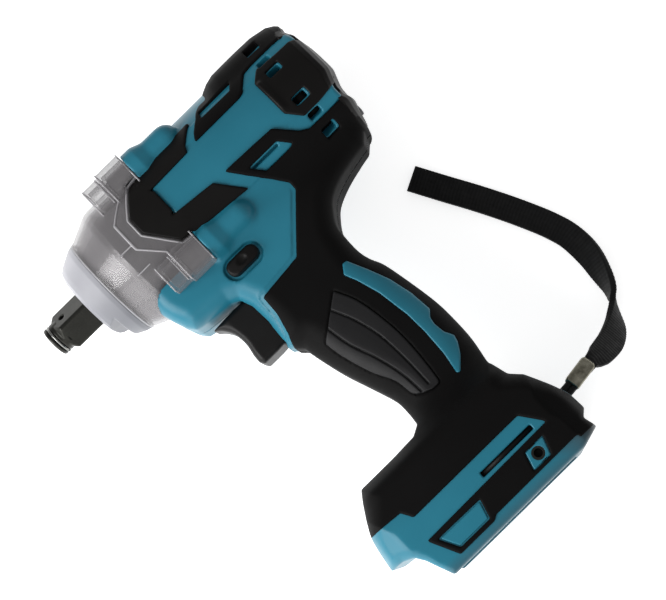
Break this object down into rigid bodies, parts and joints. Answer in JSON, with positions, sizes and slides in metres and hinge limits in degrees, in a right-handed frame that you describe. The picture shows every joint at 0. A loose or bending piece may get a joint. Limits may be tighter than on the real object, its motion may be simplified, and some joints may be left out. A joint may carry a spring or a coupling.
{
  "type": "impact wrench",
  "caption": "Cordless pistol-grip impact wrench with a square drive, clear nose bumper, rubber grip, slide battery foot and wrist strap, shown without its battery.",
  "frame": {"origin": "on the drive axis where the square drive leaves the nose", "axes": "+X along the drive axis out of the nose, +Y down the grip towards the foot, +Z out of the tool's left side; the tool lies on its right side"},
  "size_m": [0.1845, 0.2083, 0.075],
  "materials": {
    "teal_plastic": "satin, fine moulded grain",
    "grip_rubber": "matt moulded rubber",
    "black_plastic": "satin",
    "case_alloy": "cast and turned",
    "clear_plastic": "clear moulded plastic",
    "frosted_plastic": "milky moulded plastic",
    "black_steel": "black oxide",
    "gear_steel": "ground",
    "bronze": "satin",
    "copper_windings": "enamelled copper",
    "circuit_board": "solder resist",
    "panel_plastic": "smooth",
    "lead_insulation": "silicone",
    "strap_fabric": "woven webbing",
    "ferrule_metal": "pewter coloured"
  },
  "bodies": {
    "housing": {"left_housing": "teal_plastic", "right_housing": "teal_plastic", "left_grip_rubber": "grip_rubber", "right_grip_rubber": "grip_rubber", "rear_cover": "grip_rubber", "rear_cover_screws": "black_steel", "hammer_case": "case_alloy", "clear_bumper": "clear_plastic", "nose_cover": "frosted_plastic", "case_screws": "black_steel", "housing_screws": "black_steel", "anvil_bush": "bronze", "nose_seal": "grip_rubber", "ring_gear": "gear_steel", "gear_case": "black_plastic", "stator_core": "gear_steel", "stator_coils": "copper_windings", "motor_board": "circuit_board", "front_bearing": "gear_steel", "rear_bearing": "gear_steel", "switch_unit": "black_plastic", "trigger_spring": "gear_steel", "led_lens": "clear_plastic", "control_board": "circuit_board", "mode_panel": "panel_plastic", "terminal_block": "black_plastic", "terminal_blades": "bronze", "motor_leads": "lead_insulation", "left_hook_insert": "bronze", "right_hook_insert": "bronze", "lanyard_anchor": "black_plastic", "strap_cord": "strap_fabric", "strap_ferrule": "ferrule_metal", "strap_webbing": "strap_fabric"},
    "anvil": {"square_drive_anvil": "black_steel", "friction_ring": "black_steel"},
    "spindle": {"spindle_carrier": "gear_steel", "planet_pins": "gear_steel", "spring_washer": "gear_steel", "hammer_spring": "gear_steel"},
    "hammer": {"hammer": "gear_steel", "cam_balls": "gear_steel"},
    "planet_1": {"planet_gear_1": "gear_steel"},
    "planet_2": {"planet_gear_2": "gear_steel"},
    "planet_3": {"planet_gear_3": "gear_steel"},
    "rotor": {"rotor_shaft": "gear_steel", "rotor_core": "gear_steel", "rotor_magnets": "gear_steel", "cooling_fan": "black_plastic"},
    "trigger": {"trigger": "black_plastic"},
    "selector": {"direction_selector": "black_plastic"}
  },
  "joints": [
    {"name": "spindle_spin", "type": "hinge", "parent": "housing", "child": "spindle", "pos_m": [-0.062, 0, 0], "axis": [1, 0, 0], "continuous": true},
    {"name": "anvil_spin", "type": "hinge", "parent": "housing", "child": "anvil", "pos_m": [0, 0, 0], "axis": [1, 0, 0], "continuous": true},
    {"name": "hammer_slide", "type": "slide", "parent": "spindle", "child": "hammer", "axis": [1, 0, 0], "range_m": [-0.009, 0], "stiffness_N_per_m": 4000, "springref_m": 0.004, "deforming": ["hammer_spring"]},
    {"name": "planet_1_spin", "type": "hinge", "parent": "spindle", "child": "planet_1", "pos_m": [-0.0634, 0, 0.01275], "axis": [1, 0, 0], "continuous": true},
    {"name": "planet_2_spin", "type": "hinge", "parent": "spindle", "child": "planet_2", "pos_m": [-0.0634, -0.01104, -0.00637], "axis": [1, 0, 0], "continuous": true},
    {"name": "planet_3_spin", "type": "hinge", "parent": "spindle", "child": "planet_3", "pos_m": [-0.0634, 0.01104, -0.00637], "axis": [1, 0, 0], "continuous": true},
    {"name": "rotor_spin", "type": "hinge", "parent": "housing", "child": "rotor", "pos_m": [-0.092, 0, 0], "axis": [1, 0, 0], "continuous": true},
    {"name": "trigger_pull", "type": "slide", "parent": "housing", "child": "trigger", "axis": [-1, 0, 0], "range_m": [0, 0.007], "stiffness_N_per_m": 700, "springref_m": -0.004, "deforming": ["trigger_spring"]},
    {"name": "direction_select", "type": "slide", "parent": "housing", "child": "selector", "axis": [0, 0, 1], "range_m": [-0.0025, 0.0025]}
  ],
  "couplings": [
    {"joint": "anvil_spin", "follows": "spindle_spin", "ratio": 1},
    {"joint": "rotor_spin", "follows": "spindle_spin", "ratio": 5},
    {"joint": "planet_1_spin", "follows": "spindle_spin", "ratio": -2.6667},
    {"joint": "planet_2_spin", "follows": "spindle_spin", "ratio": -2.6667},
    {"joint": "planet_3_spin", "follows": "spindle_spin", "ratio": -2.6667}
  ]
}
